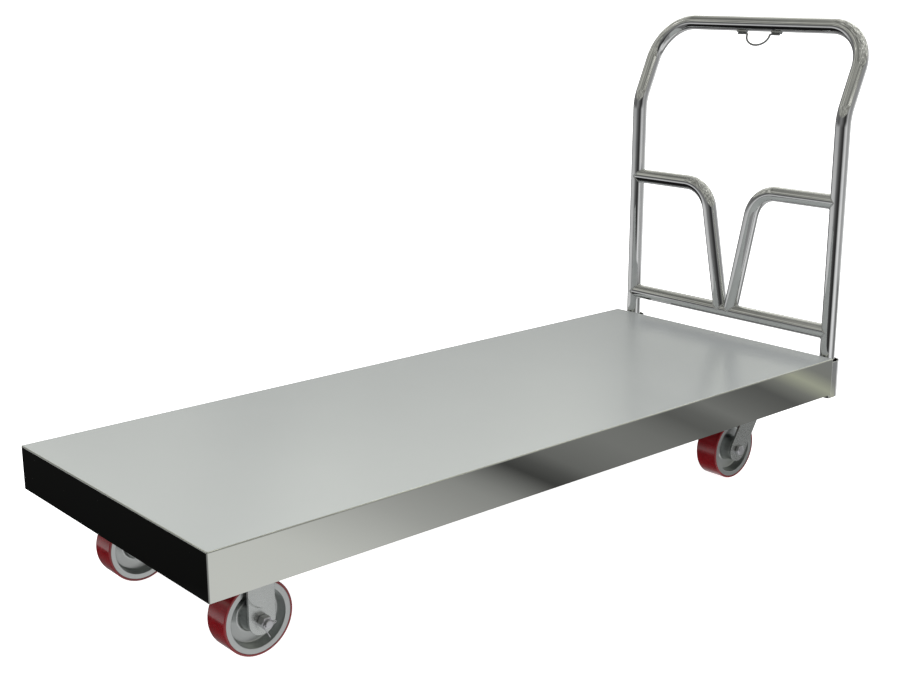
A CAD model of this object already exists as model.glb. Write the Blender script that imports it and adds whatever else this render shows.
"""Looks of the platform luggage truck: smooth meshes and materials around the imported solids.

Metres, +Z up. X runs towards the handle, Y across the deck, and the floor is at Z = 0.
Left is -Y, the left hand of a person who pushes the truck.
"""
import math

import bmesh
import bpy
from mathutils import Euler, Matrix, Vector


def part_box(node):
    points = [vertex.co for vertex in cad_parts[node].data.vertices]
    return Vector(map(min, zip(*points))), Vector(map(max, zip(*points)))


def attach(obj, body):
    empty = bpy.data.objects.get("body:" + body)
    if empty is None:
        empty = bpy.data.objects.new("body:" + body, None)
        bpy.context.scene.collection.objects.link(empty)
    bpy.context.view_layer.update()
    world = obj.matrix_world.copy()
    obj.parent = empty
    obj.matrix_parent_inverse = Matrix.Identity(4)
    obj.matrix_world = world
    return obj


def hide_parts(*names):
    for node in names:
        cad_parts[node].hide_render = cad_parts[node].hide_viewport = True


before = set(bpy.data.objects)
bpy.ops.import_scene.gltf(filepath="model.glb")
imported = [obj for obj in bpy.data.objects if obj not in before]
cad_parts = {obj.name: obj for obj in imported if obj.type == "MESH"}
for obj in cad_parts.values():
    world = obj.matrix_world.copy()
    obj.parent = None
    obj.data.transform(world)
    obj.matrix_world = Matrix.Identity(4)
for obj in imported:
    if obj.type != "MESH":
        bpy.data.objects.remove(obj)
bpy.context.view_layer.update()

UP = Vector((0, 0, 1))
AHEAD = Vector((1, 0, 0))
ACROSS = Vector((0, 1, 0))
SIDES = (("left", -1), ("right", 1))
ROUND, HEX = "round", "hex"
SIXTH = math.tau / 6
MM = 0.001
SIZE_GAP = 0.1 * MM  # keeps a smooth arc inside the design's box, whose arcs are faceted


# ---------------------------------------------------------------- frame places

def centre_of(node):
    low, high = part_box(node)
    return (low + high) / 2


def size_of(node):
    low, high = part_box(node)
    return high - low


PAN_LOW, PAN_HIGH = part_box("deck_pan")
DECK_TOP = PAN_HIGH.z
SKIRT_BOTTOM = PAN_LOW.z
TUBE_RADIUS = size_of("lower_crossbar").x / 2 - SIZE_GAP
UPRIGHT_X = centre_of("lower_crossbar").x
UPRIGHT_Y = abs(centre_of("handle_socket_left").y)
CROSSBAR_Z = centre_of("lower_crossbar").z
TUBE_FOOT_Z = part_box("handle_loop")[0].z
SOCKET_RADIUS = size_of("handle_socket_left").y / 2 - SIZE_GAP
WHEEL_RADIUS = size_of("rigid_left_tread").z / 2
WHEEL_HALF = size_of("rigid_left_tread").y / 2
CORE_RADIUS = size_of("rigid_left_wheel_core").z / 2
HUB_HALF = size_of("rigid_left_wheel_core").y / 2
BEARING_RADIUS = size_of("rigid_left_roller_bearing").z / 2
BEARING_HALF = size_of("rigid_left_roller_bearing").y / 2
BUSHING_RADIUS = size_of("rigid_left_spanner_bushing").z / 2
BUSHING_HALF = size_of("rigid_left_spanner_bushing").y / 2
LEG_OUTER = size_of("swivel_left_fork").y / 2
PLATE_SIZE = size_of("swivel_left_top_plate")
PLATE_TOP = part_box("swivel_left_top_plate")[1].z

# The design's own numbers that a box can't give.
SHEET = 3 * MM
TUBE_BORE = 14 * MM
LEAN_START = 503 * MM
LEAN_ANGLE = math.radians(24.2)
LEAN_LENGTH = 192.5 * MM
LEAN_BEND = 100 * MM
TOP_BEND = 90 * MM
ARM_HEIGHT = 325.4 * MM
ARM_TURN_Y = 67.8 * MM
ARM_FOOT_Y = 13.5 * MM
ARM_BEND = 65 * MM
LEG_HALF_WIDTH = 24.5 * MM
LEG_THICKNESS = 5 * MM
LEG_BEAD = 1.6 * MM
PLATE_CORNER = 7 * MM
PLATE_EDGE = 0.7 * MM
SWIVEL_LEAN = math.radians(31)
BOLT_RADIUS = 6.35 * MM
HEX_HALF = 9.5 * MM
BOLT_GAP = 0.3 * MM

BAR_X = UPRIGHT_X + LEAN_LENGTH * math.sin(LEAN_ANGLE)
BAR_Z = DECK_TOP + LEAN_START + LEAN_LENGTH * math.cos(LEAN_ANGLE)
DOWN_LEAN = Vector((-math.sin(LEAN_ANGLE), 0, -math.cos(LEAN_ANGLE)))


# ---------------------------------------------------------------- node helpers

class Graph:
    """A short way to write a material's nodes."""

    def __init__(self, name):
        self.material = bpy.data.materials.new(name)
        self.material.use_nodes = True
        self.tree = self.material.node_tree
        self.shader = self.tree.nodes["Principled BSDF"]
        self.place = self.add("ShaderNodeTexCoord").outputs["Object"]

    def add(self, kind, **settings):
        node = self.tree.nodes.new(kind)
        for key, value in settings.items():
            if key in node.inputs:
                node.inputs[key].default_value = value
            else:
                setattr(node, key, value)
        return node

    def link(self, output, target):
        self.tree.links.new(output, target)

    def noise(self, scale, detail=3.0, roughness=0.55, stretch=(1, 1, 1)):
        """Noise in the object's own space, drawn out along an axis by a small stretch."""
        mapping = self.add("ShaderNodeMapping")
        mapping.inputs["Scale"].default_value = stretch
        self.link(self.place, mapping.inputs["Vector"])
        texture = self.add("ShaderNodeTexNoise")
        texture.inputs["Scale"].default_value = scale
        texture.inputs["Detail"].default_value = detail
        texture.inputs["Roughness"].default_value = roughness
        self.link(mapping.outputs["Vector"], texture.inputs["Vector"])
        return texture.outputs["Fac"]

    def spread(self, value, low, high, start=0.3, end=0.7):
        """Map a 0-1 value to a range."""
        node = self.add("ShaderNodeMapRange")
        node.inputs["From Min"].default_value = start
        node.inputs["From Max"].default_value = end
        node.inputs["To Min"].default_value = low
        node.inputs["To Max"].default_value = high
        self.link(value, node.inputs["Value"])
        return node.outputs["Result"]

    def blend(self, value, first, second):
        """Mix two colours by a 0-1 value."""
        node = self.add("ShaderNodeMix", data_type="RGBA")
        colours = [socket for socket in node.inputs if socket.type == "RGBA"]
        for socket, colour in zip(colours, (first, second)):
            socket.default_value = (*colour, 1)
        self.link(value, node.inputs["Factor"])
        return [socket for socket in node.outputs if socket.type == "RGBA"][0]

    def bump(self, value, strength, distance):
        node = self.add("ShaderNodeBump")
        node.inputs["Strength"].default_value = strength
        node.inputs["Distance"].default_value = distance
        self.link(value, node.inputs["Height"])
        self.link(node.outputs["Normal"], self.shader.inputs["Normal"])

    def set(self, **values):
        for key, value in values.items():
            self.shader.inputs[key.replace("_", " ")].default_value = value


def satin_sheet(name, first, second, rough_low, rough_high, metal=1.0):
    """Satin sheet with a fine lengthwise grain and faint cloudy patches."""
    graph = Graph(name)
    grain = graph.noise(2200, detail=2, stretch=(0.010, 1, 1))
    cloud = graph.noise(3, detail=2)
    graph.link(graph.blend(graph.spread(cloud, 0, 1), first, second), graph.shader.inputs["Base Color"])
    graph.link(graph.spread(grain, rough_low, rough_high), graph.shader.inputs["Roughness"])
    graph.bump(grain, 0.02, 0.00001)
    graph.set(Metallic=metal)
    return graph.material


def plated_chrome(name):
    """Bright plating with a trace of polishing marks and thin smudges."""
    graph = Graph(name)
    smudge = graph.noise(38, detail=4)
    tint = graph.blend(graph.spread(smudge, 0, 1), (0.66, 0.67, 0.675), (0.72, 0.725, 0.72))
    graph.link(tint, graph.shader.inputs["Base Color"])
    graph.link(graph.spread(smudge, 0.015, 0.04, 0.4, 0.8), graph.shader.inputs["Roughness"])
    graph.bump(graph.noise(160, detail=2), 0.02, 0.00002)
    graph.set(Metallic=1.0)
    return graph.material


def dull_metal(name, first, second, rough_low, rough_high, grain, depth):
    """Coated or cast metal with fine pitting and uneven tone."""
    graph = Graph(name)
    tone = graph.noise(24, detail=4)
    fine = graph.noise(grain, detail=3)
    graph.link(graph.blend(graph.spread(tone, 0, 1), first, second), graph.shader.inputs["Base Color"])
    graph.link(graph.spread(fine, rough_low, rough_high), graph.shader.inputs["Roughness"])
    graph.bump(fine, 0.2, depth)
    graph.set(Metallic=1.0)
    return graph.material


def urethane(name):
    """Deep red polyurethane with a clear skin, moulding clouds and light scuffs."""
    graph = Graph(name)
    cloud = graph.noise(30, detail=3)
    scuff = graph.noise(420, detail=4, stretch=(1, 0.15, 1))
    tint = graph.blend(graph.spread(cloud, 0, 1), (0.115, 0.002, 0.004), (0.150, 0.004, 0.007))
    graph.link(tint, graph.shader.inputs["Base Color"])
    graph.link(graph.spread(scuff, 0.16, 0.26, 0.35, 0.75), graph.shader.inputs["Roughness"])
    graph.bump(scuff, 0.04, 0.0001)
    graph.set(Coat_Weight=0.5, Coat_Roughness=0.06, Specular_IOR_Level=0.5)
    return graph.material


DECK = satin_sheet("deck_satin", (0.565, 0.592, 0.592), (0.580, 0.607, 0.607), 0.23, 0.27, 0.45)
SKIRT = satin_sheet("skirt_polish", (0.60, 0.615, 0.575), (0.62, 0.635, 0.595), 0.012, 0.03)
UNDER = dull_metal("under_steel", (0.36, 0.37, 0.37), (0.42, 0.43, 0.42), 0.38, 0.55, 700, 0.00008)
CHROME = plated_chrome("plated_chrome")
WELD = dull_metal("plated_weld", (0.58, 0.59, 0.59), (0.68, 0.68, 0.68), 0.12, 0.25, 500, 0.0001)
ZINC = dull_metal("caster_zinc", (0.51, 0.53, 0.52), (0.57, 0.59, 0.58), 0.24, 0.34, 800, 0.00001)
CORE = dull_metal("wheel_core_grey", (0.52, 0.54, 0.535), (0.56, 0.58, 0.57), 0.28, 0.34, 400, 0.000004)
BOLT = dull_metal("zinc_bolt", (0.56, 0.56, 0.58), (0.64, 0.64, 0.66), 0.30, 0.40, 900, 0.00001)
WIRE = dull_metal("hanger_steel", (0.30, 0.31, 0.31), (0.38, 0.39, 0.39), 0.20, 0.32, 900, 0.00002)
TREAD = urethane("red_urethane")


# ---------------------------------------------------------------- mesh helpers

def to_piece(name, mesh, material, body, replaced=(), angle=35, bevel=0.0):
    """Make a shaded piece from a bmesh in world space and let it ride on a body."""
    bmesh.ops.recalc_face_normals(mesh, faces=mesh.faces)
    data = bpy.data.meshes.new(name)
    mesh.to_mesh(data)
    mesh.free()
    data.materials.append(material)
    data.shade_smooth()
    data.set_sharp_from_angle(angle=math.radians(angle))
    piece = bpy.data.objects.new(name, data)
    bpy.context.scene.collection.objects.link(piece)
    if bevel:
        add_bevel(piece, bevel)
    even_normals(piece)
    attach(piece, body)
    if replaced:
        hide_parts(*replaced)
    return piece


def even_normals(piece):
    """Let the large faces set the shading, so that flat faces stay flat beside their rounded edges."""
    old = piece.modifiers.get("even_normals")
    if old:
        piece.modifiers.remove(old)
    change = piece.modifiers.new("even_normals", "WEIGHTED_NORMAL")
    change.keep_sharp = True


def add_bevel(piece, width, segments=2):
    """Break a piece's sharp edges."""
    change = piece.modifiers.new("broken_edges", "BEVEL")
    change.width = width
    change.segments = segments
    change.limit_method = "ANGLE"
    change.angle_limit = math.radians(40)
    even_normals(piece)


def paint(node, material):
    """Give a CAD node, which keeps its designed shape, a material."""
    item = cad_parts[node]
    item.data.materials.clear()
    item.data.materials.append(material)
    return item


def box_mesh(low, high):
    mesh = bmesh.new()
    bmesh.ops.create_cube(mesh, size=1)
    bmesh.ops.scale(mesh, vec=Vector(high) - Vector(low), verts=mesh.verts)
    bmesh.ops.translate(mesh, vec=(Vector(high) + Vector(low)) / 2, verts=mesh.verts)
    return mesh


def section(radius, height, shape, sides):
    """Points of a round or hexagonal section about local Z."""
    points = []
    for step in range(sides):
        angle = math.tau * step / sides
        reach = radius
        if shape == HEX:
            reach = radius / math.cos(angle % SIXTH - SIXTH / 2)
        points.append(Vector((reach * math.cos(angle), reach * math.sin(angle), height)))
    return points


def turned(profile, sides, ring, place=Matrix.Identity(4), mesh=None):
    """Stack sections (radius, height, shape). A ring's last section meets its first."""
    mesh = mesh or bmesh.new()
    rings = []
    for radius, height, shape in profile:
        points = section(radius, height, shape, sides)
        rings.append([mesh.verts.new(place @ point) for point in points])
    joined = list(zip(rings, rings[1:]))
    if ring:
        joined.append((rings[-1], rings[0]))
    else:
        mesh.faces.new(rings[0])
        mesh.faces.new(rings[-1])
    for lower, upper in joined:
        for step in range(sides):
            follow = (step + 1) % sides
            mesh.faces.new((lower[step], lower[follow], upper[follow], upper[step]))
    return mesh


def filleted(corners, steps=5):
    """Round the corners (radius, height, fillet) of a closed turned profile."""
    profile = []
    count = len(corners)
    for index, (radius, height, fillet) in enumerate(corners):
        corner = Vector((radius, height))
        if not fillet:
            profile.append((radius, height, ROUND))
            continue
        before = Vector(corners[index - 1][:2])
        after = Vector(corners[(index + 1) % count][:2])
        arrive = (corner - before).normalized()
        leave = (after - corner).normalized()
        turn = arrive.angle(leave)
        start = corner - arrive * fillet * math.tan(turn / 2)
        inward = (leave - arrive * arrive.dot(leave)).normalized()
        centre = start + inward * fillet
        for step in range(steps + 1):
            angle = turn * step / steps
            point = centre + fillet * (arrive * math.sin(angle) - inward * math.cos(angle))
            profile.append((point.x, point.y, ROUND))
    return profile


def mirrored(upper):
    """Complete a ring's corners from the upper half, listed from outside to bore."""
    return upper + [(radius, -height, fillet) for radius, height, fillet in reversed(upper)]


def round_edges(mesh, edges, radius, segments):
    bmesh.ops.bevel(mesh, geom=edges, offset=radius, segments=segments, affect="EDGES", profile=0.5)


def rounded_plate(low, high):
    """A flat plate with round corners."""
    mesh = box_mesh(low, high)
    upright = [edge for edge in mesh.edges if abs(edge.verts[0].co.z - edge.verts[1].co.z) > MM]
    round_edges(mesh, upright, PLATE_CORNER, 8)
    return mesh


def prism(outline, start, end, mesh=None):
    """Extrude a closed outline of 3-D points from start to end."""
    mesh = mesh or bmesh.new()
    near = [mesh.verts.new(point + start) for point in outline]
    far = [mesh.verts.new(point + end) for point in outline]
    mesh.faces.new(near)
    mesh.faces.new(far)
    for step in range(len(outline)):
        follow = (step + 1) % len(outline)
        mesh.faces.new((near[step], near[follow], far[follow], far[step]))
    return mesh


def bent_path(corners, radii, bend_step=math.radians(3)):
    """Centre line through corners, each inner corner rounded to its bend radius."""
    path = [corners[0]]
    for before, corner, after, radius in zip(corners, corners[1:], corners[2:], radii):
        arrive = (corner - before).normalized()
        leave = (after - corner).normalized()
        turn = arrive.angle(leave)
        start = corner - arrive * radius * math.tan(turn / 2)
        inward = (leave - arrive * arrive.dot(leave)).normalized()
        centre = start + inward * radius
        steps = max(2, round(turn / bend_step))
        for step in range(steps + 1):
            angle = turn * step / steps
            path.append(centre + radius * (arrive * math.sin(angle) - inward * math.cos(angle)))
    path.append(corners[-1])
    return path


def sweep_rings(mesh, path, radii, sides, normal, closed):
    """Rings of vertices square to a path, carried along it without twist."""
    rings = []
    last = None
    count = len(path)
    for index, point in enumerate(path):
        if closed:
            ahead, behind = path[(index + 1) % count], path[index - 1]
        else:
            ahead, behind = path[min(index + 1, count - 1)], path[max(index - 1, 0)]
        tangent = ((ahead - point).normalized() + (point - behind).normalized()).normalized()
        if last is not None:
            normal = last.rotation_difference(tangent) @ normal
        last = tangent
        side = tangent.cross(normal).normalized()
        out = side.cross(tangent).normalized()
        ring = []
        for step in range(sides):
            angle = math.tau * step / sides
            spoke = out * math.cos(angle) + side * math.sin(angle)
            ring.append(mesh.verts.new(point + spoke * radii[index]))
        rings.append(ring)
    return rings


def swept(path, radius, sides, normal, bore=0.0, closed=False, ripple=0.0, mesh=None):
    """A rod, open tube or closed loop along a path. A ripple swells it like a weld bead."""
    mesh = mesh or bmesh.new()
    radii = [radius * (1 + ripple * (index % 3 - 1)) for index in range(len(path))]
    outer = sweep_rings(mesh, path, radii, sides, normal, closed)
    skins = [outer]
    if bore:
        skins.append(sweep_rings(mesh, path, [bore] * len(path), sides, normal, closed))
    for skin in skins:
        joined = list(zip(skin, skin[1:]))
        if closed:
            joined.append((skin[-1], skin[0]))
        for lower, upper in joined:
            for step in range(sides):
                follow = (step + 1) % sides
                mesh.faces.new((lower[step], lower[follow], upper[follow], upper[step]))
    if closed:
        return mesh
    for end in (0, -1):
        if not bore:
            mesh.faces.new(outer[end])
            continue
        inner = skins[1]
        for step in range(sides):
            follow = (step + 1) % sides
            mesh.faces.new((outer[end][step], outer[end][follow], inner[end][follow], inner[end][step]))
    return mesh


def cut(piece, tool_mesh):
    """Take a tool, given as a bmesh, away from a piece, and remove the tool."""
    bmesh.ops.recalc_face_normals(tool_mesh, faces=tool_mesh.faces)
    data = bpy.data.meshes.new("tool")
    tool_mesh.to_mesh(data)
    tool_mesh.free()
    tool = bpy.data.objects.new("tool", data)
    bpy.context.scene.collection.objects.link(tool)
    piece.modifiers.remove(piece.modifiers["even_normals"])
    change = piece.modifiers.new("cut", "BOOLEAN")
    change.operation = "DIFFERENCE"
    change.solver = "EXACT"
    change.object = tool
    bpy.context.view_layer.update()
    shaped = piece.evaluated_get(bpy.context.evaluated_depsgraph_get())
    result = bpy.data.meshes.new_from_object(shaped)
    piece.modifiers.clear()
    piece.data = result
    result.shade_smooth()
    result.set_sharp_from_angle(angle=math.radians(35))
    bpy.data.objects.remove(tool)
    bpy.data.meshes.remove(data)
    even_normals(piece)


def outward(centre, sign):
    """Place local Z along the axle, pointing away from the truck's middle."""
    return Matrix.Translation(centre) @ Euler((-sign * math.pi / 2, 0, 0)).to_matrix().to_4x4()


# ---------------------------------------------------------------- deck

EDGE_RADIUS = 2.5 * MM
EDGE_STEPS = 7
FACES_UP = 0.9
STITCH_BEAD = 2.2 * MM
STITCH_STEPS = 14
CHANNEL_MARGIN = 30 * MM


def build_deck():
    """Folded tray with rounded folds. The top is satin and the skirts are polished."""
    mesh = box_mesh(PAN_LOW, PAN_HIGH)
    folds = []
    for edge in mesh.edges:
        if max(vertex.co.z for vertex in edge.verts) > SKIRT_BOTTOM + MM:
            folds.append(edge)
    round_edges(mesh, folds, EDGE_RADIUS, EDGE_STEPS)
    pan = to_piece("deck_sheet", mesh, DECK, "deck", ["deck_pan"], angle=50)
    inset = Vector((SHEET, SHEET, 0))
    cut(pan, box_mesh(PAN_LOW + inset - UP * SHEET, PAN_HIGH - inset - UP * SHEET))
    pan.data.materials.append(SKIRT)
    for face in pan.data.polygons:
        face.material_index = 0 if face.normal.z > FACES_UP else 1


def stitch_welds(name, start, end, count, length):
    """Short weld runs spaced along a line."""
    mesh = bmesh.new()
    along = (end - start).normalized()
    for index in range(count):
        middle = start.lerp(end, (index + 0.5) / count)
        path = [
            middle + along * length * (step / STITCH_STEPS - 0.5) for step in range(STITCH_STEPS + 1)]
        swept(path, STITCH_BEAD, 8, UP, ripple=0.12, mesh=mesh)
    to_piece(name, mesh, UNDER, "deck")


def build_underframe():
    """Channels stay as designed, with broken edges, and gain stitch welds."""
    for node in ("caster_channel_load_end", "caster_channel_handle_end",
                 "deck_stiffener_left", "deck_stiffener_middle", "deck_stiffener_right"):
        add_bevel(paint(node, UNDER), 0.8 * MM)
    under = DECK_TOP - SHEET
    for place in ("load_end", "handle_end"):
        low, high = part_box("caster_channel_" + place)
        bead_z = under - 4 * MM
        for edge, x in (("front", low.x), ("back", high.x)):
            start = Vector((x, low.y + CHANNEL_MARGIN, bead_z))
            end = Vector((x, high.y - CHANNEL_MARGIN, bead_z))
            stitch_welds(f"weld_{place}_{edge}", start, end, 5, 35 * MM)
    for row in ("left", "middle", "right"):
        low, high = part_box("deck_stiffener_" + row)
        bead_z = under - 3 * MM
        for edge, y in (("inner", low.y), ("outer", high.y)):
            start = Vector((low.x, y, bead_z))
            end = Vector((high.x, y, bead_z))
            stitch_welds(f"weld_stiffener_{row}_{edge}", start, end, 6, 40 * MM)


# ---------------------------------------------------------------- handle

TUBE_SIDES = 56
BEAD_RADIUS = 1.5 * MM


def saddle(origin, branch, main, steps=96):
    """Curve where a branch tube meets a main tube of the same radius, seen from outside."""
    branch, main = branch.normalized(), main.normalized()
    first = branch.orthogonal().normalized()
    second = branch.cross(first)
    points = []
    for step in range(steps):
        angle = math.tau * step / steps
        spoke = TUBE_RADIUS * (first * math.cos(angle) + second * math.sin(angle))
        square_branch = branch - main * branch.dot(main)
        square_spoke = spoke - main * spoke.dot(main)
        a = square_branch.length_squared
        b = 2 * square_branch.dot(square_spoke)
        c = square_spoke.length_squared - TUBE_RADIUS ** 2
        reach = (-b + math.sqrt(max(b * b - 4 * a * c, 0))) / (2 * a)
        points.append(origin + branch * reach + spoke)
    return points


def weld_ring(name, origin, branch, main):
    mesh = swept(saddle(origin, branch, main), BEAD_RADIUS, 8, main, closed=True, ripple=0.10)
    to_piece(name, mesh, WELD, "handle", angle=60)


def tube(path):
    """One of the handle's open tubes along a path."""
    return swept(path, TUBE_RADIUS, TUBE_SIDES, AHEAD, TUBE_BORE)


def tube_cutter(path):
    """The solid that a tube fills, to mitre another tube against it."""
    return swept(path, TUBE_RADIUS, TUBE_SIDES, AHEAD)


def build_handle():
    """The tube loop, crossbar and arms as smooth tubes, mitred and welded."""
    bend = DECK_TOP + LEAN_START
    corners = [
        Vector((UPRIGHT_X, -UPRIGHT_Y, TUBE_FOOT_Z)), Vector((UPRIGHT_X, -UPRIGHT_Y, bend)),
        Vector((BAR_X, -UPRIGHT_Y, BAR_Z)), Vector((BAR_X, UPRIGHT_Y, BAR_Z)),
        Vector((UPRIGHT_X, UPRIGHT_Y, bend)), Vector((UPRIGHT_X, UPRIGHT_Y, TUBE_FOOT_Z))]
    path = bent_path(corners, (LEAN_BEND, TOP_BEND, TOP_BEND, LEAN_BEND))
    to_piece("push_handle_tube", tube(path), CHROME, "handle", ["handle_loop"])

    ends = [Vector((UPRIGHT_X, sign * UPRIGHT_Y, CROSSBAR_Z)) for sign in (-1, 1)]
    bar = to_piece("crossbar_tube", tube(ends), CHROME, "handle", ["lower_crossbar"])
    arm_z = DECK_TOP + ARM_HEIGHT
    for side, sign in SIDES:
        upright = [Vector((UPRIGHT_X, sign * UPRIGHT_Y, z)) for z in (DECK_TOP, bend)]
        cut(bar, tube_cutter(upright))
        route = [
            Vector((UPRIGHT_X, sign * UPRIGHT_Y, arm_z)), Vector((UPRIGHT_X, sign * ARM_TURN_Y, arm_z)),
            Vector((UPRIGHT_X, sign * ARM_FOOT_Y, CROSSBAR_Z))]
        mesh = tube(bent_path(route, (ARM_BEND,)))
        arm = to_piece("arm_tube_" + side, mesh, CHROME, "handle", ["side_arm_" + side])
        cut(arm, tube_cutter(upright))
        cut(arm, tube_cutter(ends))
        inboard = ACROSS * -sign
        weld_ring("weld_crossbar_" + side, ends[0 if sign < 0 else 1], inboard, UP)
        weld_ring("weld_arm_top_" + side, route[0], inboard, UP)
        weld_ring("weld_arm_foot_" + side, route[2], route[1] - route[2], ACROSS)


HANGER_WIRE = 2.25 * MM
HANGER_HALF_WIDTH = 30 * MM
HANGER_FOOT_DEPTH = 4 * MM
HANGER_FOOT_Y = 46 * MM
HANGER_DROP = 25.7 * MM
HANGER_BEND = 3 * MM
HANGER_BEND_STEPS = 6
HANGER_ARC_STEPS = 24


def build_hanger():
    """Wire loop whose ends turn outward under two small pads on the top bar."""
    bar = Vector((BAR_X, 0, BAR_Z))
    start = TUBE_RADIUS + HANGER_FOOT_DEPTH + 0.3 * MM + HANGER_WIRE
    half = [(HANGER_FOOT_Y + 9 * MM, start)]
    for step in range(HANGER_BEND_STEPS + 1):
        angle = math.pi / 2 * step / HANGER_BEND_STEPS
        reach = HANGER_HALF_WIDTH + HANGER_BEND * (1 - math.sin(angle))
        half.append((reach, start + HANGER_BEND * (1 - math.cos(angle))))
    for step in range(1, HANGER_ARC_STEPS + 1):
        angle = math.pi / 2 * step / HANGER_ARC_STEPS
        depth = HANGER_BEND + (HANGER_DROP - HANGER_BEND) * math.sin(angle)
        half.append((HANGER_HALF_WIDTH * math.cos(angle), start + depth))
    outline = [(-across, depth) for across, depth in half] + half[-2::-1]
    path = [bar + ACROSS * across + DOWN_LEAN * depth for across, depth in outline]
    mesh = swept(path, HANGER_WIRE, 20, DOWN_LEAN.cross(ACROSS))
    to_piece("hanger_wire", mesh, WIRE, "handle", ["hanger_loop"])
    for side in ("left", "right"):
        add_bevel(paint("hanger_foot_" + side, WIRE), 0.6 * MM)


def socket_outline(radius, back, steps=40):
    """U outline about the upright's axis, open towards the skirt at x = back."""
    points = [Vector((back, -radius, 0))]
    for step in range(steps + 1):
        angle = math.pi * (step / steps - 0.5)
        points.append(Vector((radius * math.cos(angle), radius * math.sin(angle), 0)))
    points.append(Vector((back, radius, 0)))
    return points


SOCKET_BEAD = 2.0 * MM


def build_sockets():
    """Rolled U brackets on the end skirt, welded under the skirt's edge."""
    for side, sign in SIDES:
        name = "handle_socket_" + side
        low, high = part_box(name)
        back = low.x - UPRIGHT_X
        origin = Vector((UPRIGHT_X, sign * UPRIGHT_Y, 0))
        bore = socket_outline(SOCKET_RADIUS - SHEET, back)
        outline = socket_outline(SOCKET_RADIUS, back) + bore[::-1]
        mesh = prism(outline, origin + UP * low.z, origin + UP * high.z)
        to_piece("socket_" + side, mesh, CHROME, "deck", [name], bevel=0.8 * MM)
        paint("socket_floor_" + side, UNDER)
        bead = bmesh.new()
        for edge in (-1, 1):
            wall = edge * (SOCKET_RADIUS - SHEET / 2)
            corner = Vector((low.x, origin.y + wall, SKIRT_BOTTOM - 0.8 * MM))
            line = [corner + AHEAD * MM * k / 4 for k in range(-8, 17)]
            swept(line, SOCKET_BEAD, 10, UP, ripple=0.12, mesh=bead)
        to_piece("weld_socket_" + side, bead, WELD, "deck", angle=60)


# ---------------------------------------------------------------- casters

WHEEL_SIDES = 120
RIM_HALF = 24.3 * MM
WEB_HALF = 4.8 * MM
HUB_FACE = 21.6 * MM
CAGE_BORE = 11.4 * MM
CAGE_RECESS = 2 * MM
ROLLERS = 12
ROLLER_RADIUS = 1.4 * MM
ROLLER_RING = 12.9 * MM


def build_wheel(name, body, sign):
    """Cast core with a dished web, bonded tread and a caged roller bearing."""
    place = outward(centre_of(name + "_tread"), sign)
    # Each corner of a section is a radius, a distance from the wheel's middle and a fillet.
    core = filleted(mirrored([
        (CORE_RADIUS, RIM_HALF, 0.4 * MM), (50.0 * MM, RIM_HALF, 1.2 * MM),
        (46.5 * MM, 6.0 * MM, 3.0 * MM), (26.0 * MM, WEB_HALF, 4.0 * MM),
        (22.8 * MM, HUB_HALF - 1.6 * MM, 0), (HUB_FACE, HUB_HALF, 0.3 * MM),
        (16.2 * MM, HUB_HALF, 0.5 * MM)]))
    mesh = turned(core, WHEEL_SIDES, ring=True, place=place)
    to_piece(name + "_core", mesh, CORE, body, [name + "_wheel_core"])
    tread = filleted(mirrored([
        (WHEEL_RADIUS, WHEEL_HALF, 2.4 * MM),
        (CORE_RADIUS + 0.1 * MM, WHEEL_HALF - 0.3 * MM, 0.3 * MM)]))
    mesh = turned(tread, WHEEL_SIDES, ring=True, place=place)
    to_piece(name + "_tyre", mesh, TREAD, body, [name + "_tread"])
    mesh = bmesh.new()
    cage = filleted(mirrored([
        (BEARING_RADIUS, BEARING_HALF, 0.4 * MM), (CAGE_BORE, BEARING_HALF, 0.3 * MM),
        (CAGE_BORE, BEARING_HALF - CAGE_RECESS, 0),
        (BEARING_RADIUS - 1.2 * MM, BEARING_HALF - CAGE_RECESS, 0)]), steps=2)
    turned(cage, 60, ring=True, place=place, mesh=mesh)
    half = BEARING_HALF - 2.2 * MM
    for index in range(ROLLERS):
        angle = math.tau * index / ROLLERS
        spot = Matrix.Translation((ROLLER_RING * math.cos(angle), ROLLER_RING * math.sin(angle), 0))
        rod = [(ROLLER_RADIUS, -half, ROUND), (ROLLER_RADIUS, half, ROUND)]
        turned(rod, 12, False, place @ spot, mesh)
    to_piece(name + "_bearing", mesh, BOLT, body, [name + "_roller_bearing"])


CHAMFER = 0.7 * MM
THREAD_PITCH = 1.6 * MM
SHANK_SHARE = 0.668


def hex_bolt(place, half, head, shank, tail, mesh):
    """Hex head under local Z = 0, and a shank up to local Z = shank with a threaded tail."""
    radius = half * SHANK_SHARE
    profile = [
        (half * 0.90, -head, ROUND), (half, -head + CHAMFER, HEX), (half, 0, HEX), (radius, 0, ROUND),
        (radius, shank - tail, ROUND)]
    ridges = max(1, round(tail / THREAD_PITCH))
    pitch = tail / ridges
    for ridge in range(ridges):
        base = shank - tail + ridge * pitch
        profile.append((radius * 0.88, base + pitch * 0.45, ROUND))
        profile.append((radius, base + pitch * 0.95, ROUND))
    profile.append((radius * 0.80, shank + 0.6 * MM, ROUND))
    turned(profile, 48, False, place, mesh)


def hex_nut(place, half, bore, low, high, mesh):
    """Nut chamfered on both faces."""
    profile = [
        (half * 0.92, low, ROUND), (half, low + CHAMFER, HEX), (half, high - CHAMFER, HEX),
        (half * 0.92, high, ROUND), (bore, high, ROUND), (bore, low, ROUND)]
    return turned(profile, 48, True, place, mesh)


def ring_washer(place, outer, bore, low, high, mesh):
    profile = [(outer, low, ROUND), (outer, high, ROUND), (bore, high, ROUND), (bore, low, ROUND)]
    turned(profile, 48, True, place, mesh)


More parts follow.
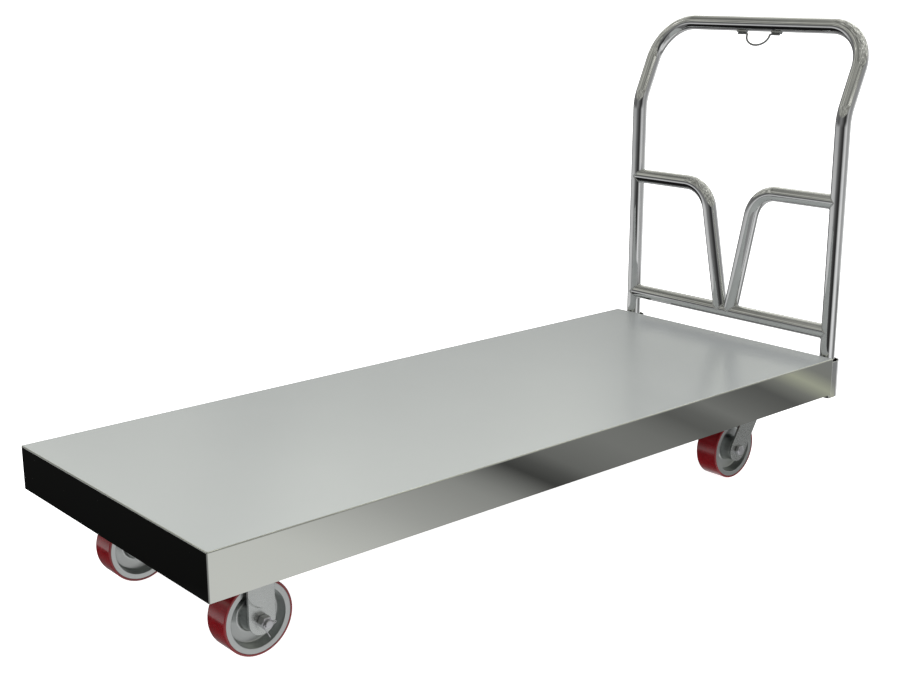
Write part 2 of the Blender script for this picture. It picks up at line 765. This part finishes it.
def build_axle(name, body, sign):
    """Axle bolt, nut and spanner bushing."""
    axle = centre_of(name + "_tread")
    place = outward(axle, sign)
    ends = [corner.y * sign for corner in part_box(name + "_axle_bolt")]
    inner = abs(min(ends) - axle.y * sign)
    outer = max(ends) - axle.y * sign
    seat = LEG_OUTER + BOLT_GAP
    shank = seat + outer - 0.6 * MM
    mesh = bmesh.new()
    hex_bolt(place @ Matrix.Translation((0, 0, -seat)), HEX_HALF, inner - seat, shank, 1.5 * MM, mesh)
    to_piece(name + "_bolt", mesh, BOLT, body, [name + "_axle_bolt"], angle=30)
    nut = size_of(name + "_axle_nut").y
    mesh = hex_nut(place, HEX_HALF, BOLT_RADIUS + 0.15 * MM, seat, seat + nut, bmesh.new())
    to_piece(name + "_nut", mesh, BOLT, body, [name + "_axle_nut"], angle=30)
    profile = filleted(mirrored([
        (BUSHING_RADIUS, BUSHING_HALF, 0.4 * MM),
        (BOLT_RADIUS + BOLT_GAP, BUSHING_HALF, 0.3 * MM)]), steps=2)
    mesh = turned(profile, 60, True, place)
    to_piece(name + "_bushing", mesh, BOLT, body, [name + "_spanner_bushing"])


PIN_WIRE = 0.9 * MM
PIN_APART = 0.55 * MM
PIN_EYE = 2.2 * MM
PIN_EYE_STEPS = 24


def build_cotter(name):
    """Split pin: an eye beside the bolt and two legs, the long one folded down past the nut."""
    axle = centre_of(name + "_tread")
    low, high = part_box(name + "_cotter_pin")
    middle = Vector((axle.x, (low.y + high.y) / 2, axle.z))
    tip = Vector((axle.x + 1.9 * MM, middle.y, axle.z - 22.9 * MM))
    mesh = bmesh.new()
    for lift, stop in ((PIN_APART, 1.0), (-PIN_APART, 0.55)):
        start = middle + AHEAD * 9 * MM + UP * lift
        turn = middle - AHEAD * (9.8 * MM + lift) + UP * lift
        end = turn.lerp(tip, stop)
        path = bent_path([start, turn, end], (1.8 * MM + lift,), math.radians(8))
        swept(path, PIN_WIRE, 12, ACROSS, mesh=mesh)
    eye = []
    for step in range(PIN_EYE_STEPS + 1):
        angle = math.radians(200) + math.radians(320) * step / PIN_EYE_STEPS
        reach = 11 * MM + PIN_EYE * math.cos(angle)
        eye.append(middle + AHEAD * reach + UP * PIN_EYE * math.sin(angle))
    swept(eye, PIN_WIRE, 12, ACROSS, mesh=mesh)
    to_piece(name + "_split_pin", mesh, BOLT, "deck", [name + "_cotter_pin"])


def leg_direction(lean):
    return Vector((math.sin(lean), 0, math.cos(lean)))


def leg_outline(top, lean, half, steps=36):
    """Fork leg seen from the side: round about the axle, then straight up to the plate."""
    slope = leg_direction(lean)
    square = Vector((math.cos(lean), 0, -math.sin(lean)))
    points = []
    for step in range(steps + 1):
        angle = math.pi * step / steps
        points.append(half * (square * math.cos(angle) - slope * math.sin(angle)))
    for edge in (-1, 1):
        start = square * (edge * half)
        points.append(start + slope * ((top - start.z) / slope.z))
    return points


def build_fork(name, body, axle, plate_low, plate_high, lean):
    """Two welded legs under a plate with broken edges."""
    plate = rounded_plate(plate_low, plate_high)
    to_piece(name + "_fork_plate", plate, ZINC, body, [name + "_fork"], bevel=PLATE_EDGE)
    slope = leg_direction(lean)
    leg_top = plate_low.z - axle.z + 0.2 * MM
    for side, sign in SIDES:
        far = sign * LEG_OUTER
        left, right = sorted((sign * (LEG_OUTER - LEG_THICKNESS), far))
        outline = leg_outline(leg_top, lean, LEG_HALF_WIDTH)
        mesh = prism(outline, axle + ACROSS * left, axle + ACROSS * right)
        leg = to_piece(f"{name}_fork_leg_{side}", mesh, ZINC, body)
        drill = [axle + ACROSS * (k * LEG_OUTER * 1.2) for k in (-1, 1)]
        cut(leg, swept(drill, BOLT_RADIUS + 0.4 * MM, 40, AHEAD))
        add_bevel(leg, PLATE_EDGE)
        joint = axle + slope * (leg_top / slope.z) + ACROSS * far
        half = LEG_HALF_WIDTH / math.cos(lean) - 1.5 * MM
        sunk = UP * 0.6 * MM + ACROSS * sign * 0.2 * MM
        line = [joint + AHEAD * half * (k / 15 - 1) - sunk for k in range(31)]
        bead = swept(line, LEG_BEAD, 8, UP, ripple=0.14)
        to_piece(f"{name}_fork_weld_{side}", bead, ZINC, body, angle=60)


CHANNEL_SHEET = 4 * MM
BOLT_SPREAD = (46 * MM, 38.5 * MM)
PLATE_HEX_HALF = 7.1 * MM
WASHER = (8.6 * MM, 5.2 * MM)
WASHER_THICKNESS = 1.6 * MM


def plate_bolts(name, centre):
    """Four bolts that clamp a caster's plate to the channel above it."""
    mesh = bmesh.new()
    under = PLATE_TOP - PLATE_SIZE.z
    for x in (-1, 1):
        for y in (-1, 1):
            spot = Vector((centre.x + x * BOLT_SPREAD[0], centre.y + y * BOLT_SPREAD[1], 0))
            place = Matrix.Translation(spot + UP * under)
            ring_washer(place, *WASHER, -WASHER_THICKNESS, 0, mesh)
            low = place @ Matrix.Translation((0, 0, -WASHER_THICKNESS))
            shank = PLATE_SIZE.z + CHANNEL_SHEET + 13 * MM
            hex_bolt(low, PLATE_HEX_HALF, 4.2 * MM, shank, 10 * MM, mesh)
            top = PLATE_TOP + CHANNEL_SHEET + BOLT_GAP - under
            ring_washer(place, *WASHER, top, top + WASHER_THICKNESS, mesh)
            hex_nut(place, PLATE_HEX_HALF, 4.9 * MM, top + WASHER_THICKNESS, top + 8.6 * MM, mesh)
    to_piece(name + "_plate_bolts", mesh, BOLT, "deck", angle=30)


CREASE_CENTRE = Vector((9 * MM, 0, 57 * MM))
CREASE_CURVE = 37 * MM
CREASE_START, CREASE_END = -26 * MM, 1 * MM
CREASE_WIDTH = 1.3 * MM
CREASE_STEPS = 24


def leg_crease(leg, axle, turn):
    """Pressed crease across half of a leg's outer face, deepest at the leg's edge."""
    path = []
    for step in range(CREASE_STEPS + 1):
        part = step / CREASE_STEPS
        across = CREASE_START + (CREASE_END - CREASE_START) * part
        rise = CREASE_CENTRE.z - math.sqrt(CREASE_CURVE ** 2 - (across - CREASE_CENTRE.x) ** 2)
        proud = LEG_OUTER + MM * (0.2 + 0.9 * part)
        path.append(axle + AHEAD * across + UP * rise + ACROSS * turn * proud)
    cut(leg, swept(path, CREASE_WIDTH, 16, ACROSS))


def build_rigid_caster(side, sign):
    name = "rigid_" + side
    axle = centre_of(name + "_tread")
    low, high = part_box(name + "_fork")
    build_fork(name, "deck", axle, Vector((low.x, low.y, high.z - PLATE_SIZE.z)), high, 0)
    for face, turn in SIDES:
        leg_crease(bpy.data.objects[f"{name}_fork_leg_{face}"], axle, turn)
    build_wheel(name, "rigid_wheel_" + side, sign)
    build_axle(name, "deck", sign)
    build_cotter(name)
    plate_bolts(name, (low + high) / 2)


CROWN_HALF = 40 * MM
PIN_HOLE = 8.7 * MM
PIN_SEAT = 13.7 * MM
RACE_BORE = 22 * MM
RACE_SHARE = 0.36
BALL_RING = 28 * MM
BALL_SHARE = 0.42
BALLS = 22


def build_swivel_caster(side, sign):
    name = "swivel_" + side
    fork_body = "swivel_fork_" + side
    axle = centre_of(name + "_tread")
    pin = centre_of(name + "_kingpin")
    crown_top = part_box(name + "_fork")[1].z
    crown_low = Vector((pin.x - CROWN_HALF, pin.y - LEG_OUTER, crown_top - PLATE_SIZE.z))
    crown_high = Vector((pin.x + CROWN_HALF, pin.y + LEG_OUTER, crown_top))
    build_fork(name, fork_body, axle, crown_low, crown_high, SWIVEL_LEAN)
    hole = [Vector((pin.x, pin.y, crown_top + k * 10 * MM)) for k in (-1, 1)]
    cut(bpy.data.objects[name + "_fork_plate"], swept(hole, PIN_HOLE, 48, AHEAD))
    build_wheel(name, "swivel_wheel_" + side, sign)
    build_axle(name, fork_body, sign)

    low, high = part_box(name + "_top_plate")
    plate = rounded_plate(low, high)
    top = to_piece(name + "_mounting_plate", plate, ZINC, "deck", [name + "_top_plate"])
    place = Matrix.Translation((pin.x, pin.y, 0))
    seat = [
        (PIN_HOLE, low.z - 6 * MM, ROUND), (PIN_HOLE, low.z, ROUND),
        (PIN_SEAT, high.z, ROUND), (PIN_SEAT, high.z + 6 * MM, ROUND)]
    cut(top, turned(seat, 48, False, place))
    add_bevel(top, PLATE_EDGE)
    plate_bolts(name, (low + high) / 2)

    race_low, race_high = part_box(name + "_ball_race")
    outer = (race_high.x - race_low.x) / 2
    mesh = bmesh.new()
    depth = race_high.z - race_low.z
    cup = RACE_SHARE * depth
    ring_washer(place, outer, RACE_BORE, race_low.z, race_low.z + cup, mesh)
    ring_washer(place, outer, RACE_BORE, race_high.z - cup, race_high.z, mesh)
    for index in range(BALLS):
        angle = math.tau * index / BALLS
        x, y = BALL_RING * math.cos(angle), BALL_RING * math.sin(angle)
        spot = place @ Matrix.Translation((x, y, (race_low.z + race_high.z) / 2))
        radius = BALL_SHARE * depth
        bmesh.ops.create_uvsphere(mesh, u_segments=16, v_segments=10, radius=radius, matrix=spot)
    to_piece(name + "_ball_bearing", mesh, BOLT, "deck", [name + "_ball_race"])
    for node in (name + "_kingpin", name + "_kingpin_nut"):
        add_bevel(paint(node, BOLT), 0.4 * MM)


# ---------------------------------------------------------------- studio

FLOOR_COLOUR = (0.80, 0.80, 0.80, 1)
FLOOR_GLOW = 1.20
FLOOR_REACH = 60


def pale_surface():
    """The floor's material. It glows, so that it stays white under the truck."""
    material = bpy.data.materials.new("pale_floor")
    material.use_nodes = True
    shader = material.node_tree.nodes["Principled BSDF"]
    shader.inputs["Base Color"].default_value = FLOOR_COLOUR
    shader.inputs["Roughness"].default_value = 0.8
    shader.inputs["Emission Color"].default_value = FLOOR_COLOUR
    shader.inputs["Emission Strength"].default_value = FLOOR_GLOW
    return material


def build_floor():
    mesh = bmesh.new()
    bmesh.ops.create_grid(mesh, x_segments=1, y_segments=1, size=FLOOR_REACH)
    data = bpy.data.meshes.new("floor")
    mesh.to_mesh(data)
    mesh.free()
    data.materials.append(pale_surface())
    floor = bpy.data.objects.new("floor", data)
    bpy.context.scene.collection.objects.link(floor)
    floor.visible_glossy = False


def tone_ramp(tree, value, stops):
    """Grey or tinted tones against a value in degrees, -180 to 180."""
    ramp = tree.nodes.new("ShaderNodeValToRGB")
    elements = ramp.color_ramp.elements
    elements.remove(elements[1])
    for index, (degrees, tone) in enumerate(stops):
        element = elements.new(degrees / 360 + 0.5) if index else elements[0]
        colour = tone if isinstance(tone, tuple) else (tone, tone, tone)
        element.color = (*colour, 1)
    tree.links.new(value, ramp.inputs["Fac"])
    return ramp.outputs["Color"]


def arithmetic(tree, operation, first, second=0.0, third=0.0):
    """One Math node. Each input is a socket or a number."""
    node = tree.nodes.new("ShaderNodeMath")
    node.operation = operation
    for socket, value in zip(node.inputs, (first, second, third)):
        if isinstance(value, (int, float)):
            socket.default_value = value
        else:
            tree.links.new(value, socket)
    return node.outputs["Value"]


def remap(tree, value, start, end, low=0.0, high=1.0, interpolation="LINEAR"):
    """low below start, high above end, and between them where value is between."""
    node = tree.nodes.new("ShaderNodeMapRange")
    node.interpolation_type = interpolation
    node.inputs["From Min"].default_value = start
    node.inputs["From Max"].default_value = end
    node.inputs["To Min"].default_value = low
    node.inputs["To Max"].default_value = high
    tree.links.new(value, node.inputs["Value"])
    return node.outputs["Result"]


def fade(tree, value, start, end):
    """0 below start, 1 above end, smooth between."""
    return remap(tree, value, start, end, interpolation="SMOOTHSTEP")


def tone_mix(tree, factor, first, second):
    node = tree.nodes.new("ShaderNodeMix")
    node.data_type = "RGBA"
    inputs = [socket for socket in node.inputs if socket.type == "RGBA"]
    for socket, value in zip(inputs, (first, second)):
        tree.links.new(value, socket)
    tree.links.new(factor, node.inputs["Factor"])
    return [socket for socket in node.outputs if socket.type == "RGBA"][0]


# Tones of the mirrored room by compass angle in degrees, one row for each band of height.
OLIVE = (0.50, 0.51, 0.42)
GROUND_TONES = (
    (-180, 0.35), (-150, 0.28), (-125, 0.35), (-105, 0.75), (-70, 0.82), (-64, 0.79), (-60, 0.66),
    (-56, 0.51), (-50.5, 0.37), (-48.3, 0.25), (-46.8, 0.07), (-45.8, 0.07), (-43.5, 0.20),
    (-39, 0.26), (-36, 0.23), (-33.2, 0.13), (-31, 0.24), (-28.5, 0.17), (-26.5, 0.13), (-25.4, 0.22),
    (-24.6, OLIVE), (-23.4, OLIVE), (-22.4, 0.26), (-12, 0.45), (30, 0.6), (70, 0.13), (86, 0.08),
    (108, 0.007), (130, 0.012), (139, 0.16), (160, 0.16), (180, 0.35))
HORIZON_TONES = (
    (-180, 0.15), (-168, 0.09), (-158, 0.05), (-140, 0.03), (-130, 0.05), (-120, 0.50), (-108, 0.88),
    (-88, 0.98), (-78, 0.58), (-66, 0.42), (-52, 0.48), (-34, 0.52), (-8, 1.0), (12, 0.8), (30, 0.45),
    (50, 0.30), (64, 0.08), (80, 0.05), (90, 0.55), (110, 0.72), (135, 0.70), (156, 0.62), (168, 0.30),
    (180, 0.15))
MIDDLE_TONES = (
    (-180, 0.25), (-160, 0.15), (-141, 0.06), (-123, 0.03), (-112, 0.10), (-100, 0.34), (-88, 0.62),
    (-75, 0.34), (-60, 0.36), (-40, 0.30), (-10, 0.75), (12, 0.60), (26, 0.20), (50, 0.12),
    (66, 0.12), (86, 0.20), (110, 0.18), (143, 0.12), (160, 0.20), (180, 0.25))
UPPER_TONES = (
    (-180, 0.36), (-137, 0.37), (-118, 0.35), (-95, 0.29), (-80, 0.33), (-60, 0.40), (-40, 0.52),
    (-10, 0.82), (20, 0.90), (60, 0.95), (74, 0.70), (90, 0.44), (110, 0.52), (127, 0.36),
    (137, 0.48), (143, 0.52), (152, 0.32), (180, 0.36))
TOP_TONES = (
    (-180, 0.34), (-158, 0.40), (-120, 0.40), (-60, 0.60), (0, 0.70), (45, 0.62), (58, 0.47), (72, 0.42),
    (88, 0.33), (103, 0.34), (113, 0.21), (128, 0.29), (150, 0.27), (180, 0.34))
CEILING_TINT = (1.0, 1.0, 0.91)

# Heights in degrees over which one band gives way to the next.
GROUND_TO_HORIZON = (-17.3, -16.5)
HORIZON_TO_MIDDLE = (-12, 3)
MIDDLE_TO_CEILING = (11, 17)
UPPER_TO_TOP = (36, 44)

# Between these compass angles the first and third of those edges lie higher, by so many degrees.
GROUND_LIFT, LIFT_FROM, LIFT_TO = 5, (-74, -66), (-26, -16)
DOORWAY_LIFT, DOORWAY_FROM, DOORWAY_TO = 3.5, (20, 32), (62, 74)

# The ground's tones lean with height about LEAN_HEIGHT, at LEAN_RATE, up to LEAN_LIMIT degrees away.
LEAN_HEIGHT, LEAN_LIMIT, LEAN_RATE = -20, 5, 2.5

STREAK_SCALE = 11
STREAK_RANGE = (0.38, 0.62)
STREAK_GAIN = (0.45, 1.55)
LAMP_RANGE = (0.68, 0.71)
LAMP_GAIN = 4


def mirrored_room(tree):
    """What bright metal sees: a soft room of light and dark panels, by compass angle and height."""
    direction = tree.nodes.new("ShaderNodeTexCoord").outputs["Generated"]
    split = tree.nodes.new("ShaderNodeSeparateXYZ")
    tree.links.new(direction, split.inputs["Vector"])
    compass = arithmetic(tree, "ARCTAN2", split.outputs["Y"], split.outputs["X"])
    turn = arithmetic(tree, "MULTIPLY_ADD", compass, 1 / math.tau, 0.5)
    height = arithmetic(tree, "MULTIPLY", arithmetic(tree, "ARCSINE", split.outputs["Z"]), 180 / math.pi)
    degrees = arithmetic(tree, "MULTIPLY", compass, 180 / math.pi)
    lean = arithmetic(tree, "SUBTRACT", height, LEAN_HEIGHT)
    lean = arithmetic(tree, "MAXIMUM", lean, -LEAN_LIMIT)
    lean = arithmetic(tree, "MINIMUM", lean, LEAN_LIMIT)
    leaning_turn = arithmetic(tree, "MULTIPLY_ADD", lean, LEAN_RATE / 360, turn)
    ground = tone_ramp(tree, leaning_turn, GROUND_TONES)
    horizon = tone_ramp(tree, turn, HORIZON_TONES)
    middle = tone_ramp(tree, turn, MIDDLE_TONES)
    upper = tone_ramp(tree, turn, UPPER_TONES)
    top = tone_ramp(tree, turn, TOP_TONES)
    rise = arithmetic(tree, "SUBTRACT", fade(tree, degrees, *LIFT_FROM), fade(tree, degrees, *LIFT_TO))
    edge = arithmetic(tree, "MULTIPLY_ADD", rise, -GROUND_LIFT, height)
    tone = tone_mix(tree, fade(tree, edge, *GROUND_TO_HORIZON), ground, horizon)
    tone = tone_mix(tree, fade(tree, height, *HORIZON_TO_MIDDLE), tone, middle)
    ceiling = tone_mix(tree, fade(tree, height, *UPPER_TO_TOP), upper, top)
    noise = tree.nodes.new("ShaderNodeTexNoise")
    noise.inputs["Scale"].default_value = STREAK_SCALE
    noise.inputs["Detail"].default_value = 2
    tree.links.new(direction, noise.inputs["Vector"])
    streaks = noise.outputs["Fac"]
    gain = remap(tree, streaks, *STREAK_RANGE, *STREAK_GAIN)
    lamps = arithmetic(tree, "MULTIPLY_ADD", fade(tree, streaks, *LAMP_RANGE), LAMP_GAIN, gain)
    tint = tree.nodes.new("ShaderNodeVectorMath")
    tint.operation = "SCALE"
    tint.inputs[0].default_value = CEILING_TINT
    tree.links.new(lamps, tint.inputs["Scale"])
    patterned = tree.nodes.new("ShaderNodeVectorMath")
    patterned.operation = "MULTIPLY"
    tree.links.new(ceiling, patterned.inputs[0])
    tree.links.new(tint.outputs["Vector"], patterned.inputs[1])
    doorway = arithmetic(
        tree, "SUBTRACT", fade(tree, degrees, *DOORWAY_FROM), fade(tree, degrees, *DOORWAY_TO))
    level = arithmetic(tree, "MULTIPLY_ADD", doorway, -DOORWAY_LIFT, height)
    return tone_mix(tree, fade(tree, level, *MIDDLE_TO_CEILING), tone, patterned.outputs["Vector"])


KEY_PLACE = Vector((-2.5, -3.0, 3.2))
KEY_TARGET = Vector((0, 0, 0.3))
KEY_SIZE = 2.5
KEY_POWER = 40


def build_key_light():
    """A soft lamp from the load end's left, hidden from mirror reflections."""
    data = bpy.data.lights.new("key", "AREA")
    data.shape = "SQUARE"
    data.size = KEY_SIZE
    data.energy = KEY_POWER
    lamp = bpy.data.objects.new("key", data)
    lamp.location = KEY_PLACE
    lamp.rotation_euler = (KEY_TARGET - KEY_PLACE).to_track_quat("-Z", "Y").to_euler()
    lamp.visible_glossy = False
    bpy.context.scene.collection.objects.link(lamp)


def build_studio():
    """White room and pale floor, with a toned room for the bright metal to mirror."""
    world = bpy.data.worlds.new("studio")
    world.use_nodes = True
    world.cycles.sampling_method = "NONE"
    tree = world.node_tree
    white = tree.nodes["Background"]
    white.inputs["Color"].default_value = (1, 1, 1, 1)
    room = tree.nodes.new("ShaderNodeBackground")
    tree.links.new(mirrored_room(tree), room.inputs["Color"])
    switch = tree.nodes.new("ShaderNodeMixShader")
    path = tree.nodes.new("ShaderNodeLightPath")
    tree.links.new(path.outputs["Is Glossy Ray"], switch.inputs["Fac"])
    tree.links.new(white.outputs["Background"], switch.inputs[1])
    tree.links.new(room.outputs["Background"], switch.inputs[2])
    tree.links.new(switch.outputs["Shader"], tree.nodes["World Output"].inputs["Surface"])
    bpy.context.scene.world = world
    build_floor()
    build_key_light()
    bpy.context.scene.view_settings.view_transform = "Standard"


CAMERA_PLACE = Vector((-1.7310, -1.8745, 1.0247))
CAMERA_TILT = math.radians(90 - 14.72)
CAMERA_HEADING = math.radians(-40.98)
CAMERA_ROLL = math.radians(-0.15)
CAMERA_LENS = 54.8


def build_camera():
    data = bpy.data.cameras.new("camera")
    data.lens = CAMERA_LENS
    data.sensor_width = 36
    data.clip_end = 200
    camera = bpy.data.objects.new("camera", data)
    camera.location = CAMERA_PLACE
    aim = Euler((CAMERA_TILT, 0, CAMERA_HEADING)).to_matrix() @ Matrix.Rotation(CAMERA_ROLL, 3, "Z")
    camera.rotation_euler = aim.to_euler()
    bpy.context.scene.collection.objects.link(camera)
    bpy.context.scene.camera = camera


build_deck()
build_underframe()
build_handle()
build_hanger()
build_sockets()
for side, sign in SIDES:
    build_rigid_caster(side, sign)
    build_swivel_caster(side, sign)
build_studio()
build_camera()
